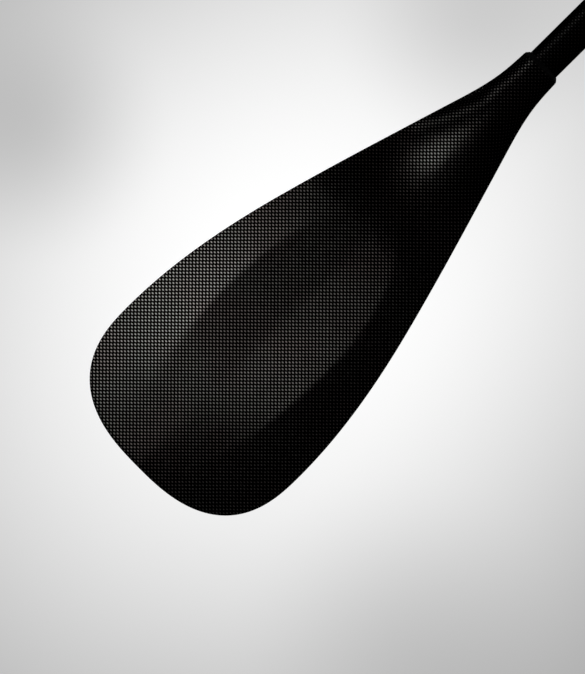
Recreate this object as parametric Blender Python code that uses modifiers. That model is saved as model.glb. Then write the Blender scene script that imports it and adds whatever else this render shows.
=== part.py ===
"""Two-piece double-bladed kayak paddle with a lever-lock adjustable ferrule.

The paddle lies on a floor at z = 0, with its shaft along X and the backs of both blades up.
The left blade is at -X. Metres, +Z up, origin below the middle of the shaft.
"""

import math

import bmesh
import bpy
from mathutils import Matrix, Vector

# ---- Driving dimensions (metres) ----
PADDLE_LENGTH = 2.150
BLADE_LENGTH = 0.480
GAP = 0.0003
MOUTH_X = PADDLE_LENGTH / 2 - BLADE_LENGTH

# Shaft tubes and how far they go into the blade sockets
SHAFT_R = 0.0150
SHAFT_WALL = 0.0015
SHAFT_BORE_R = SHAFT_R - SHAFT_WALL
SOCKET_DEPTH = 0.058
SHAFT_END_X = 0.030
PLUG_LENGTH = 0.020
BULKHEAD_X = -0.255

# The shaft's grip zone, ground matt to just below the tube's lacquer: distance from the centre
GRIP_X = (0.105, 0.405)
GRIP_DEPTH = 0.0001

# Blade laminate and neck
SKIN = 0.0009
NECK_R = 0.0182
SLEEVE_R = NECK_R - SKIN - GAP
NOSE_LENGTH = 0.0042
SKIN_START = 0.0045
FLANGE_START = 0.018
EDGE_HALF = 0.0020
SEAM_HALF = 0.00015
RIM_WIDTH = 0.0030
RIM_NECK_SHARE = 0.055
RIM_START = 0.030
RIM_THICKNESS = 2 * (EDGE_HALF - SKIN - GAP)
CORE_START = 0.066
CORE_OFFSET = SKIN + 0.0004
CORE_MARGIN = 2

# Blade outline: (distance from the mouth, half width, slope), then a superelliptic tip
SIDE_KNOTS = (
    (0.000, 0.0182, 0.030),
    (0.032, 0.0204, 0.145),
    (0.070, 0.0296, 0.305),
    (0.234, 0.0777, 0.268),
    (0.390, 0.1016, 0.000),
)
TIP_START, TIP_HALF_WIDTH = SIDE_KNOTS[-1][:2]
TIP_POWER = 2.65
CORNER_U = 0.440
CORNER_SPREAD = 1.2
SPREAD_FADE = (0.020, 0.100)
BEND_START = 0.120
ROW_CROWDING = 0.45
ROWS = 22
COLUMNS = 16

# Blade relief
SPOON_START, SPOON_DROP, SPOON_POWER = 0.060, 0.0120, 3.19
RISE_HEIGHT, RISE_SPAN = 0.0092, (0.122, 0.210)
SIDE_DROP, SIDE_DROP_V, SIDE_DROP_POWER = 0.0070, 0.100, 1.33
SIDE_DROP_FADE = (0.093, 0.120)
RIDGE_HALF_WIDTH = 0.0219
RIDGE_SPREAD = 0.36
RIDGE_HOLLOW = 0.54
RIDGE_START, RIDGE_END = 0.055, 0.194
LOWER_RIDGE_START, LOWER_RIDGE_END = 0.058, 0.190
KEEL_HEIGHT, KEEL_WIDTH = 0.0012, 0.022
KEEL_RISE, KEEL_FALL = (0.060, 0.160), (0.300, 0.440)
UNION_POWER = 3.0
PLATEAU_HEIGHT = 0.0005
PLATEAU_FLATNESS = 1.65
PLATEAU_CENTRE = 0.314
PLATEAU_NECK_AXIS, PLATEAU_TIP_AXIS = 0.130, 0.169
PLATEAU_HALF_WIDTH = 0.0556
PLATEAU_SLOPE = 0.0355
PLATEAU_FADE = 0.013

# Drip rings
DRIP_X = MOUTH_X - 0.140
DRIP_HUB_R = 0.0180
DRIP_CUP_R = 0.0260
DRIP_HUB_LENGTH = 0.018
DRIP_CUP_LENGTH = 0.014
DRIP_WALL = 0.0014
DRIP_WAIST_R = DRIP_CUP_R - 0.0022
DRIP_THROAT = 0.0026
DRIP_CHAMFER = 0.0012

# Ferrule
FERRULE_R = SHAFT_BORE_R - GAP
FERRULE_WALL = 0.0013
FERRULE_X = (-0.175, 0.095)
BUSH_FLANGE = 0.004
BUSH_SPIGOT = 0.015
BUSH_BORE_R = 0.004
RING_R = SHAFT_R + 0.0020
RING_FLANGE = 0.0030
RING_COVER = 0.0120

# Clamp: collar, drawbolt and cam lever
COLLAR_R = 0.0188
COLLAR_X = (-0.060, -0.025)
LIP = 0.0022
SEAL = 0.0022
BOLT_X = -0.0425
BOLT_Y = 0.024
BOLT_R = 0.0023
EAR_HALF_WIDTH = 0.012
EAR_Y = (0.0158, 0.0300)
EAR_TOP = 0.0070
EAR_CORNER = 0.0012
SLOT_HALF = 0.0010
WASHER_R = 0.0058
WASHER_TOP = 0.0096
BARREL_Z = 0.0150
BARREL_R = 0.0030
BARREL_OVERHANG = 0.0005
EYE_R = 0.0052
EYE_HALF_WIDTH = 0.0024
NOTCH_GAP = 0.0004
NOTCH_REACH = EYE_R + 0.0010
NOTCH_DEPTH = 0.012
CAM_R = 0.0046
CAM_THROW = WASHER_TOP + GAP - (BARREL_Z - CAM_R)
LEVER_HALF_WIDTH = 0.0080
LEVER_INNER_R, LEVER_OUTER_R = 0.0206, 0.0240
LEVER_ANGLES = (56.0, 138.0)
LEVER_STEPS = 9
FINGER_TAB = ((-0.0040, 0.0006), (-0.0046, -0.0016))
CAM_START, CAM_STEP, CAM_POINTS = 170.0, 27.0, 10
NUT_R = 0.0056
NUT_LENGTH = 0.0085
FLUTES, FLUTE_DEPTH, NUT_POINTS = 6, 0.0007, 36
BOLT_TAIL = 0.0006

# Shared by all pieces
CHAMFER = 0.0008
CUT_MARGIN = 0.005
RING_SIDES = 32
SMALL_RING_SIDES = 24
BOLT_SIDES = 16


def clear_scene():
    for obj in list(bpy.data.objects):
        bpy.data.objects.remove(obj, do_unlink=True)


def make_collection(name):
    collection = bpy.data.collections.new(name)
    bpy.context.scene.collection.children.link(collection)
    return collection


def material(name, colour, roughness, metallic=0.0):
    mat = bpy.data.materials.new(name)
    mat.use_nodes = True
    shader = mat.node_tree.nodes["Principled BSDF"]
    shader.inputs["Base Color"].default_value = (*colour, 1.0)
    shader.inputs["Roughness"].default_value = roughness
    shader.inputs["Metallic"].default_value = metallic
    return mat


def add_object(name, mesh, mat, parent, location=(0, 0, 0), rotation=(0, 0, 0)):
    """Puts a mesh in the paddle's collection, under its parent empty."""
    obj = bpy.data.objects.new(name, mesh)
    if not mesh.materials:
        mesh.materials.append(mat)
    parts.objects.link(obj)
    obj.parent = parent
    obj.location = location
    obj.rotation_euler = rotation
    return obj


def add_empty(name, location, rotation_z=0.0, parent=None):
    empty = bpy.data.objects.new(name, None)
    parts.objects.link(empty)
    empty.location = location
    empty.rotation_euler = (0, 0, rotation_z)
    empty.parent = parent
    return empty


def make_helper(obj):
    """A cutter or a solid that is joined by a Boolean: kept out of the render."""
    cutters.objects.link(obj)
    obj.hide_render = True
    obj.display_type = "WIRE"
    return obj


def mesh_from_faces(name, points, faces, angle=30.0):
    mesh = bpy.data.meshes.new(name)
    mesh.from_pydata(points, [], faces)
    mesh.shade_smooth()
    mesh.set_sharp_from_angle(angle=math.radians(angle))
    return mesh


# ---- Turned pieces: profiles (x along the shaft, radius), swept about the shaft's axis ----

ALONG_X = (0, math.pi / 2, 0)


def ring_profile(start, end, inner, outer):
    """The four corners of a plain ring, outer side from its far end to its near one."""
    return [(end, outer), (start, outer), (start, inner), (end, inner)]


def turned(name, profile, mat, parent, sides=RING_SIDES, location=(0, 0, 0)):
    """A closed profile turned about X. A facet, not an edge, faces straight down."""
    half_step = math.pi / sides
    points = [(r * math.cos(half_step), r * math.sin(half_step), x) for x, r in profile]
    edges = [(i, (i + 1) % len(points)) for i in range(len(points))]
    mesh = bpy.data.meshes.new(name)
    mesh.from_pydata(points, edges, [])
    obj = add_object(name, mesh, mat, parent, location, ALONG_X)
    screw = obj.modifiers.new("Turn", "SCREW")
    screw.steps = sides
    screw.render_steps = sides
    screw.use_merge_vertices = True
    screw.merge_threshold = 0.00001
    screw.use_smooth_shade = True
    return obj


def solid_cylinder(name, radius, start, end, sides=SMALL_RING_SIDES):
    """A cylinder along its own Z, from start to end, as a mesh."""
    bm = bmesh.new()
    place = Matrix.Translation((0, 0, (start + end) / 2)) @ Matrix.Rotation(math.pi / sides, 4, "Z")
    bmesh.ops.create_cone(
        bm,
        cap_ends=True,
        segments=sides,
        radius1=radius,
        radius2=radius,
        depth=end - start,
        matrix=place,
    )
    mesh = bpy.data.meshes.new(name)
    bm.to_mesh(mesh)
    bm.free()
    return mesh


def box_mesh(name, low, high):
    bm = bmesh.new()
    size = [b - a for a, b in zip(low, high)]
    middle = [(a + b) / 2 for a, b in zip(low, high)]
    place = Matrix.Translation(middle) @ Matrix.Diagonal((*size, 1.0))
    bmesh.ops.create_cube(bm, size=1.0, matrix=place)
    mesh = bpy.data.meshes.new(name)
    bm.to_mesh(mesh)
    bm.free()
    return mesh


def flat_outline(name, outlines, half_thickness):
    """A closed 2D outline, with its holes, given a thickness: a mesh centred on its own XY plane."""
    curve = bpy.data.curves.new(name, "CURVE")
    curve.dimensions = "2D"
    curve.fill_mode = "BOTH"
    curve.extrude = half_thickness
    for outline in outlines:
        spline = curve.splines.new("POLY")
        spline.points.add(len(outline) - 1)
        for point, (x, y) in zip(spline.points, outline):
            point.co = (x, y, 0, 1)
        spline.use_cyclic_u = True
    obj = bpy.data.objects.new(name, curve)
    cutters.objects.link(obj)
    graph = bpy.context.evaluated_depsgraph_get()
    mesh = bpy.data.meshes.new_from_object(obj.evaluated_get(graph))
    bpy.data.objects.remove(obj)
    bm = bmesh.new()
    bm.from_mesh(mesh)
    bmesh.ops.remove_doubles(bm, verts=bm.verts, dist=0.000001)
    bmesh.ops.recalc_face_normals(bm, faces=bm.faces)
    bm.to_mesh(mesh)
    bm.free()
    mesh.shade_smooth()
    mesh.set_sharp_from_angle(angle=math.radians(30))
    return mesh


def boolean(obj, other, operation):
    modifier = obj.modifiers.new(other.name, "BOOLEAN")
    modifier.operation = operation
    modifier.object = other


def helper_object(name, mesh, parent, location=(0, 0, 0), rotation=(0, 0, 0)):
    obj = bpy.data.objects.new(name, mesh)
    make_helper(obj)
    obj.parent = parent
    obj.location = location
    obj.rotation_euler = rotation
    return obj


# ---- Blade surface: u runs from the mouth to the tip, v across, w towards the back ----


def smooth_step(value, low, high):
    x = min(max((value - low) / (high - low), 0.0), 1.0)
    return x * x * (3 - 2 * x)


def hermite(u, start, end):
    """The cubic between two knots of (u, half width, slope)."""
    span = end[0] - start[0]
    x = (u - start[0]) / span
    return (
        start[1] * (2 * x**3 - 3 * x**2 + 1)
        + end[1] * (3 * x**2 - 2 * x**3)
        + span * start[2] * (x**3 - 2 * x**2 + x)
        + span * end[2] * (x**3 - x**2)
    )


def half_width(u):
    if u >= TIP_START:
        reach = min((u - TIP_START) / (BLADE_LENGTH - TIP_START), 1.0)
        return TIP_HALF_WIDTH * (1 - reach**TIP_POWER) ** (1 / TIP_POWER)
    for start, end in zip(SIDE_KNOTS, SIDE_KNOTS[1:]):
        if u <= end[0]:
            return hermite(u, start, end)
    return TIP_HALF_WIDTH


def tip_u(v):
    """How far along the blade the tip's edge lies, at a distance v from the centre line."""
    share = (1 - (abs(v) / TIP_HALF_WIDTH) ** TIP_POWER) ** (1 / TIP_POWER)
    return TIP_START + (BLADE_LENGTH - TIP_START) * share


def side_drop(u, v):
    return SIDE_DROP * (abs(v) / SIDE_DROP_V) ** SIDE_DROP_POWER * smooth_step(u, *SIDE_DROP_FADE)


def middle_height(u, v):
    """The surface halfway between the faces: it rises from the neck, then drops to the tip and the sides."""
    along = max(0.0, (u - SPOON_START) / (BLADE_LENGTH - SPOON_START))
    rise = RISE_HEIGHT * smooth_step(u, *RISE_SPAN)
    return rise - SPOON_DROP * along**SPOON_POWER - side_drop(u, v)


def edge_half_thickness(u):
    at_flange = SKIN + 2 * SEAM_HALF
    start = SEAM_HALF + (at_flange - SEAM_HALF) * smooth_step(u, SKIN_START, FLANGE_START)
    return start + (EDGE_HALF - at_flange) * smooth_step(u, FLANGE_START, RIM_START)


def ridge_height(u, v, start, end):
    """The shaft's tube as it sinks into the blade."""
    width = RIDGE_HALF_WIDTH + RIDGE_SPREAD * max(0.0, u - start)
    width = min(half_width(min(u, TIP_START)), width)
    sink = smooth_step(u, start, end)
    roundness = 0.5 + RIDGE_HOLLOW * sink
    return NECK_R * (1 - sink) * max(0.0, 1 - (v / width) ** 2) ** roundness


def plateau_height(u, v):
    """The egg-shaped panel on the back: flat across, creased at its outline where the sides fall away."""
    along = u - PLATEAU_CENTRE
    axis = PLATEAU_NECK_AXIS if along < 0 else PLATEAU_TIP_AXIS
    reach = max(math.hypot(along / axis, v / PLATEAU_HALF_WIDTH), 0.001)
    slope = math.hypot(along / axis**2, v / PLATEAU_HALF_WIDTH**2) / reach
    outside = (reach - 1) / max(slope, 1.0)
    cover = math.exp(-max(outside, 0.0) / PLATEAU_SLOPE)
    cover *= 1 - smooth_step(along, PLATEAU_FADE, BLADE_LENGTH - PLATEAU_CENTRE)
    return cover * (PLATEAU_HEIGHT + PLATEAU_FLATNESS * side_drop(u, v))


def soft_union(a, b):
    return (a**UNION_POWER + b**UNION_POWER) ** (1 / UNION_POWER)


def back_height(u, v):
    flank = edge_half_thickness(u) + plateau_height(u, v)
    return middle_height(u, v) + soft_union(ridge_height(u, v, RIDGE_START, RIDGE_END), flank)


def power_height(u, v):
    keel = KEEL_HEIGHT * math.exp(-((v / KEEL_WIDTH) ** 2))
    keel *= smooth_step(u, *KEEL_RISE) * (1 - smooth_step(u, *KEEL_FALL))
    flank = edge_half_thickness(u) + keel
    ridge = ridge_height(u, v, LOWER_RIDGE_START, LOWER_RIDGE_END)
    return middle_height(u, v) - soft_union(ridge, flank)


def row_start(row):
    """Where a row of the grid meets the blade's edge: close together on the neck."""
    share = row / (ROWS - 1)
    share += ROW_CROWDING * (share**2 - share)
    return SKIN_START + (CORNER_U - SKIN_START) * share


def grid_point(row, column):
    """The place (u, v) of a grid point. The rows bend until the last is the tip's edge."""
    edge_u = row_start(row)
    spread = math.pi / 2 + (CORNER_SPREAD - math.pi / 2) * smooth_step(edge_u, *SPREAD_FADE)
    across = math.sin(spread * (2 * column / COLUMNS - 1)) / math.sin(spread)
    bend = 2 * smooth_step(edge_u, BEND_START, 2 * CORNER_U - BEND_START)
    corner = half_width(CORNER_U)
    return edge_u + bend * (tip_u(corner * across) - CORNER_U), half_width(edge_u) * across


def face_points(height):
    """The grid's points on a face, row by row."""
    rows = []
    for row in range(ROWS):
        places = [grid_point(row, column) for column in range(COLUMNS + 1)]
        rows.append([Vector((u, v, height(u, v))) for u, v in places])
    return rows


def grid_faces(rows, columns, upwards):
    faces = []
    for r in range(rows - 1):
        for c in range(columns - 1):
            a, b = r * columns + c, (r + 1) * columns + c
            quad = (a, b, b + 1, a + 1)
            faces.append(quad if upwards else quad[::-1])
    return faces


def skin_mesh(name, height, upwards):
    """An open face of the blade. Solidify gives it its laminate, inwards."""
    points = [p for row in face_points(height) for p in row]
    return mesh_from_faces(name, points, grid_faces(ROWS, COLUMNS + 1, upwards), 60)


def solidify(obj, thickness, offset):
    modifier = obj.modifiers.new("Laminate", "SOLIDIFY")
    modifier.thickness = thickness
    modifier.offset = offset


def sunken_points(mesh, depth):
    """The points of an open face, moved inwards by a depth."""
    bm = bmesh.new()
    bm.from_mesh(mesh)
    bm.normal_update()
    points = [v.co - v.normal * depth for v in bm.verts]
    bm.free()
    return points


def core_mesh(name, back, power):
    """The foam that fills the blade between its skins: a loft between the two faces."""
    first = next(r for r in range(ROWS) if row_start(r) > CORE_START)
    rows = range(first, ROWS - 1)
    columns = range(CORE_MARGIN, COLUMNS + 1 - CORE_MARGIN)
    width = len(columns)
    points = []
    for face in (back, power):
        sunken = sunken_points(face, CORE_OFFSET)
        points += [sunken[r * (COLUMNS + 1) + c] for r in rows for c in columns]
    below = len(rows) * width
    faces = grid_faces(len(rows), width, True)
    faces += [tuple(i + below for i in f) for f in grid_faces(len(rows), width, False)]
    last = (len(rows) - 1) * width
    border = list(range(width - 1))
    border += [r * width + width - 1 for r in range(len(rows) - 1)]
    border += [last + c for c in range(width - 1, 0, -1)]
    border += [r * width for r in range(len(rows) - 1, 0, -1)]
    for a, b in zip(border, border[1:] + border[:1]):
        faces.append((a, b, b + below, a + below))
    return mesh_from_faces(name, points, faces, 60)


def edge_places():
    """The blade's edge from the neck on one side, round the tip, to the neck on the other."""
    rows = [r for r in range(ROWS) if row_start(r) > RIM_START]
    side = [grid_point(r, 0) for r in rows]
    tip = [grid_point(ROWS - 1, c) for c in range(1, COLUMNS)]
    return side + tip + [(u, -v) for u, v in reversed(side)]


def rim_mesh(name):
    """The band laid in along the edge between the skins, as an open strip."""
    outer = edge_places()
    points = []
    for i, (u, v) in enumerate(outer):
        before, after = outer[max(i - 1, 0)], outer[min(i + 1, len(outer) - 1)]
        du, dv = after[0] - before[0], after[1] - before[1]
        length = math.hypot(du, dv)
        width = min(RIM_WIDTH, RIM_NECK_SHARE * half_width(min(u, TIP_START)))
        inner_u, inner_v = u - dv / length * width, v + du / length * width
        points.append((u, v, middle_height(u, v)))
        points.append((inner_u, inner_v, middle_height(inner_u, inner_v)))
    faces = [(2 * i, 2 * i + 2, 2 * i + 3, 2 * i + 1) for i in range(len(outer) - 1)]
    return mesh_from_faces(name, points, faces, 60)


def build_blade(side, frame, meshes, mats):
    """One blade on its frame: skins, foam, edge band and the sleeve of its socket."""
    back = add_object(side + "_back_skin", meshes["back"], mats["carbon"], frame)
    solidify(back, SKIN, -1)
    power = add_object(side + "_power_skin", meshes["power"], mats["carbon_power"], frame)
    solidify(power, SKIN, -1)
    add_object(side + "_foam_core", meshes["core"], mats["foam"], frame)
    rim = add_object(side + "_rim", meshes["rim"], mats["rim"], frame)
    solidify(rim, RIM_THICKNESS, 0)
    inner = SHAFT_R + GAP
    chamfer = NECK_R - inner
    profile = [
        (SOCKET_DEPTH, SLEEVE_R),
        (NOSE_LENGTH, SLEEVE_R),
        (NOSE_LENGTH, NECK_R),
        (chamfer, NECK_R),
        (0, inner + CHAMFER / 2),
        (0, inner),
        (SOCKET_DEPTH, inner),
    ]
    turned(side + "_neck_sleeve", profile, mats["sleeve"], frame)


def build_shaft(side, frame, mats):
    """One half of the shaft, with its grip zone, and the plug that closes its blade end."""
    start, end = SHAFT_END_X - MOUTH_X, SOCKET_DEPTH
    grip_start, grip_end = (x - MOUTH_X for x in GRIP_X)
    profile = [
        (end, SHAFT_R),
        (grip_end, SHAFT_R),
        (grip_end, SHAFT_R - GRIP_DEPTH),
        (grip_start, SHAFT_R - GRIP_DEPTH),
        (grip_start, SHAFT_R),
        (start, SHAFT_R),
        (start, SHAFT_BORE_R),
        (end, SHAFT_BORE_R),
    ]
    turned(side + "_shaft", profile, mats["shaft"], frame)
    mesh = solid_cylinder("end_plug", SHAFT_BORE_R - GAP, end - PLUG_LENGTH, end)
    add_object(side + "_end_plug", mesh, mats["plug"], frame, rotation=ALONG_X)


def build_drip_ring(side, frame, mats):
    """A rubber cup on the shaft, open towards the blade."""
    empty = add_empty(side + "_drip_ring_slide", (DRIP_X - MOUTH_X, 0, 0), 0.0, frame)
    inner = SHAFT_R + GAP
    rim = DRIP_HUB_LENGTH + DRIP_CUP_LENGTH
    waist = DRIP_HUB_LENGTH + DRIP_CUP_LENGTH / 2
    profile = [
        (rim, DRIP_CUP_R),
        (waist, DRIP_WAIST_R),
        (DRIP_HUB_LENGTH, DRIP_HUB_R),
        (DRIP_CHAMFER, DRIP_HUB_R),
        (0, DRIP_HUB_R - DRIP_CHAMFER),
        (0, inner),
        (DRIP_HUB_LENGTH, inner),
        (DRIP_HUB_LENGTH + DRIP_THROAT, inner + DRIP_THROAT),
        (waist, DRIP_WAIST_R - DRIP_WALL),
        (rim, DRIP_CUP_R - DRIP_WALL),
    ]
    turned(side + "_drip_ring", profile, mats["rubber"], empty)


def build_ferrule(centre, mats):
    """The male tube with the bush it turns on, and the ring on the right half's end."""
    start, end = FERRULE_X
    bore = FERRULE_R - FERRULE_WALL
    turned("ferrule_tube", ring_profile(start, end, bore, FERRULE_R), mats["ferrule"], centre)
    face = start - GAP
    profile = [
        (start + BUSH_SPIGOT, bore - GAP),
        (face, bore - GAP),
        (face, FERRULE_R),
        (face - BUSH_FLANGE, FERRULE_R),
        (face - BUSH_FLANGE, BUSH_BORE_R),
        (start + BUSH_SPIGOT, BUSH_BORE_R),
    ]
    turned("glide_bush", profile, mats["nylon"], centre)
    face = SHAFT_END_X - GAP
    front = face - RING_FLANGE
    profile = [
        (SHAFT_END_X + RING_COVER, RING_R),
        (front + CHAMFER, RING_R),
        (front, RING_R - CHAMFER),
        (front, SHAFT_BORE_R),
        (face, SHAFT_BORE_R),
        (face, SHAFT_R + GAP),
        (SHAFT_END_X + RING_COVER, SHAFT_R + GAP),
    ]
    turned("end_ring", profile, mats["ring"], centre)
    mesh = solid_cylinder("left_bulkhead", SHAFT_BORE_R - GAP, BULKHEAD_X, BULKHEAD_X + PLUG_LENGTH)
    add_object("left_bulkhead", mesh, mats["plug"], centre, rotation=ALONG_X)


def build_collar(centre, mats):
    """The split collar on the left shaft's end, and the seal inside its lip."""
    start, end = COLLAR_X
    inner = SHAFT_R + GAP
    profile = [
        (end, COLLAR_R - CHAMFER),
        (end - CHAMFER, COLLAR_R),
        (start + CHAMFER, COLLAR_R),
        (start, COLLAR_R - CHAMFER),
        (start, inner),
        (end - LIP, inner),
        (end - LIP, SHAFT_BORE_R),
        (end, SHAFT_BORE_R),
    ]
    collar = turned("clamp_collar", profile, mats["collar"], centre)
    ear_low = (BOLT_X - EAR_HALF_WIDTH, EAR_Y[0], -EAR_TOP)
    ear_high = (BOLT_X + EAR_HALF_WIDTH, EAR_Y[1], EAR_TOP)
    ears = helper_object("collar_ears", box_mesh("collar_ears", ear_low, ear_high), centre)
    bevel = ears.modifiers.new("Corners", "BEVEL")
    bevel.width = EAR_CORNER
    bevel.segments = 2
    boolean(collar, ears, "UNION")
    slot_low = (start - CUT_MARGIN, SHAFT_R - CUT_MARGIN, -SLOT_HALF)
    slot_high = (end + CUT_MARGIN, EAR_Y[1] + CUT_MARGIN, SLOT_HALF)
    slot = helper_object("collar_slot", box_mesh("collar_slot", slot_low, slot_high), centre)
    boolean(collar, slot, "DIFFERENCE")
    reach = EAR_TOP + CUT_MARGIN
    mesh = solid_cylinder("collar_bolt_hole", BOLT_R + GAP, -reach, reach, BOLT_SIDES)
    hole = helper_object("collar_bolt_hole", mesh, centre, (BOLT_X, BOLT_Y, 0))
    boolean(collar, hole, "DIFFERENCE")
    face = -SHAFT_END_X + GAP
    turned("seal_ring", ring_profile(face, face + SEAL, SHAFT_BORE_R, SHAFT_R), mats["rubber"], centre)


def lever_outline():
    """The lever from its side (Y, Z): a cam round its barrel and an arm that hugs the collar."""
    first, last = (math.radians(a) for a in LEVER_ANGLES)
    angles = [first + (last - first) * i / LEVER_STEPS for i in range(LEVER_STEPS + 1)]
    outer = [(LEVER_OUTER_R * math.cos(a), LEVER_OUTER_R * math.sin(a)) for a in angles]
    inner = [(LEVER_INNER_R * math.cos(a), LEVER_INNER_R * math.sin(a)) for a in reversed(angles)]
    tab = [(outer[-1][0] + y, outer[-1][1] + z) for y, z in FINGER_TAB]
    centre_z = BARREL_Z - CAM_THROW
    cam = []
    for i in range(CAM_POINTS):
        angle = math.radians(CAM_START + CAM_STEP * i)
        cam.append((BOLT_Y + CAM_R * math.cos(angle), centre_z + CAM_R * math.sin(angle)))
    return outer + tab + inner + cam


def build_lever(lever_frame, mats):
    """The cam lever, with its barrel hole and the notch that the bolt's eye stands in."""
    outline = [(y - BOLT_Y, z - BARREL_Z) for y, z in lever_outline()]
    mesh = flat_outline("clamp_lever", [outline], LEVER_HALF_WIDTH)
    lever = add_object("clamp_lever", mesh, mats["lever"], lever_frame)
    lever.rotation_euler = (math.pi / 2, 0, math.pi / 2)
    reach = LEVER_HALF_WIDTH + CUT_MARGIN
    mesh = solid_cylinder("lever_barrel_hole", BARREL_R + GAP, -reach, reach)
    hole = helper_object("lever_barrel_hole", mesh, lever_frame, rotation=ALONG_X)
    boolean(lever, hole, "DIFFERENCE")
    notch_low = (-EYE_HALF_WIDTH - NOTCH_GAP, -NOTCH_REACH, -NOTCH_DEPTH)
    notch_high = (EYE_HALF_WIDTH + NOTCH_GAP, NOTCH_DEPTH, NOTCH_REACH)
    notch = helper_object("lever_notch", box_mesh("lever_notch", notch_low, notch_high), lever_frame)
    boolean(lever, notch, "DIFFERENCE")


def round_outline(radius, count, flutes=0, depth=0.0):
    """A circle of points, with flutes cut into it to a depth."""
    points = []
    for i in range(count):
        angle = 2 * math.pi * i / count
        r = radius - depth * (0.5 - 0.5 * math.cos(flutes * angle))
        points.append((r * math.cos(angle), r * math.sin(angle)))
    return points


def build_bolt(bolt_frame, lever_frame, nut_frame, mats):
    """The eye bolt, the barrel through its eye, the washer under the cam and the thumb nut."""
    reach = LEVER_HALF_WIDTH + BARREL_OVERHANG
    barrel = solid_cylinder("lever_barrel", BARREL_R, -reach, reach)
    add_object("lever_barrel", barrel, mats["steel"], lever_frame, rotation=ALONG_X)
    eye_bore = BARREL_R + GAP
    profile = ring_profile(-EYE_HALF_WIDTH, EYE_HALF_WIDTH, eye_bore, EYE_R)
    bolt = turned("draw_bolt", profile, mats["steel"], lever_frame, SMALL_RING_SIDES)
    foot = -EAR_TOP - GAP - NUT_LENGTH - BOLT_TAIL
    top = BARREL_Z - (eye_bore + EYE_R) / 2
    shank = solid_cylinder("bolt_shank", BOLT_R, foot, top, BOLT_SIDES)
    boolean(bolt, helper_object("bolt_shank", shank, bolt_frame), "UNION")
    profile = ring_profile(EAR_TOP + GAP, WASHER_TOP, BOLT_R + GAP, WASHER_R)
    washer = turned("cam_washer", profile, mats["washer"], bolt_frame, SMALL_RING_SIDES)
    washer.rotation_euler = (0, 0, 0)
    outline = round_outline(NUT_R, NUT_POINTS, FLUTES, FLUTE_DEPTH)
    hole = round_outline(BOLT_R + GAP, BOLT_SIDES)
    mesh = flat_outline("thumb_nut", [outline, hole], NUT_LENGTH / 2)
    add_object("thumb_nut", mesh, mats["nut"], nut_frame)


def make_materials():
    return {
        "carbon": material("carbon_weave", (0.012, 0.012, 0.012), 0.30),
        "carbon_power": material("carbon_weave_power_face", (0.014, 0.014, 0.014), 0.30),
        "shaft": material("carbon_shaft", (0.010, 0.010, 0.010), 0.28),
        "sleeve": material("carbon_sleeve", (0.010, 0.010, 0.010), 0.35),
        "rim": material("black_edge_band", (0.012, 0.012, 0.012), 0.40),
        "foam": material("core_foam", (0.70, 0.66, 0.52), 0.90),
        "plug": material("plug_foam", (0.20, 0.20, 0.20), 0.95),
        "rubber": material("black_rubber", (0.020, 0.020, 0.020), 0.80),
        "ferrule": material("ferrule_carbon", (0.016, 0.016, 0.016), 0.25),
        "nylon": material("natural_nylon", (0.60, 0.58, 0.52), 0.50),
        "ring": material("black_trim", (0.022, 0.022, 0.022), 0.45),
        "collar": material("glass_filled_nylon", (0.025, 0.025, 0.025), 0.55),
        "lever": material("satin_aluminium", (0.045, 0.045, 0.047), 0.35, 0.6),
        "steel": material("stainless_steel", (0.55, 0.55, 0.56), 0.25, 1.0),
        "washer": material("brass_washer", (0.75, 0.55, 0.25), 0.35, 1.0),
        "nut": material("knurled_nut", (0.045, 0.045, 0.047), 0.40, 0.6),
    }


def build_paddle():
    mats = make_materials()
    blade_depth = -min(p.z for row in face_points(power_height) for p in row)
    axis_height = max(blade_depth, DRIP_CUP_R * math.cos(math.pi / RING_SIDES))
    back = skin_mesh("back_skin", back_height, True)
    power = skin_mesh("power_skin", power_height, False)
    meshes = {
        "back": back,
        "power": power,
        "core": core_mesh("foam_core", back, power),
        "rim": rim_mesh("rim"),
    }
    for side, sign in (("left", -1), ("right", 1)):
        turn = math.pi if sign < 0 else 0.0
        frame = add_empty(side + "_half_frame", (sign * MOUTH_X, 0, axis_height), turn)
        build_blade(side, frame, meshes, mats)
        build_shaft(side, frame, mats)
        build_drip_ring(side, frame, mats)
    centre = add_empty("ferrule_frame", (0, 0, axis_height))
    build_ferrule(centre, mats)
    build_collar(centre, mats)
    bolt_frame = add_empty("bolt_frame", (BOLT_X, BOLT_Y, axis_height))
    lever_frame = add_empty("lever_hinge", (BOLT_X, BOLT_Y, axis_height + BARREL_Z))
    nut_z = axis_height - EAR_TOP - GAP - NUT_LENGTH / 2
    nut_frame = add_empty("thumb_nut_axis", (BOLT_X, BOLT_Y, nut_z))
    build_lever(lever_frame, mats)
    build_bolt(bolt_frame, lever_frame, nut_frame, mats)


clear_scene()
parts = make_collection("kayak_paddle")
cutters = make_collection("cutters")
build_paddle()
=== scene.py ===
"""A double-bladed carbon kayak paddle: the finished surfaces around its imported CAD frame."""

import math

import bmesh
import bpy
import numpy as np
from mathutils import Matrix, Vector


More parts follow.
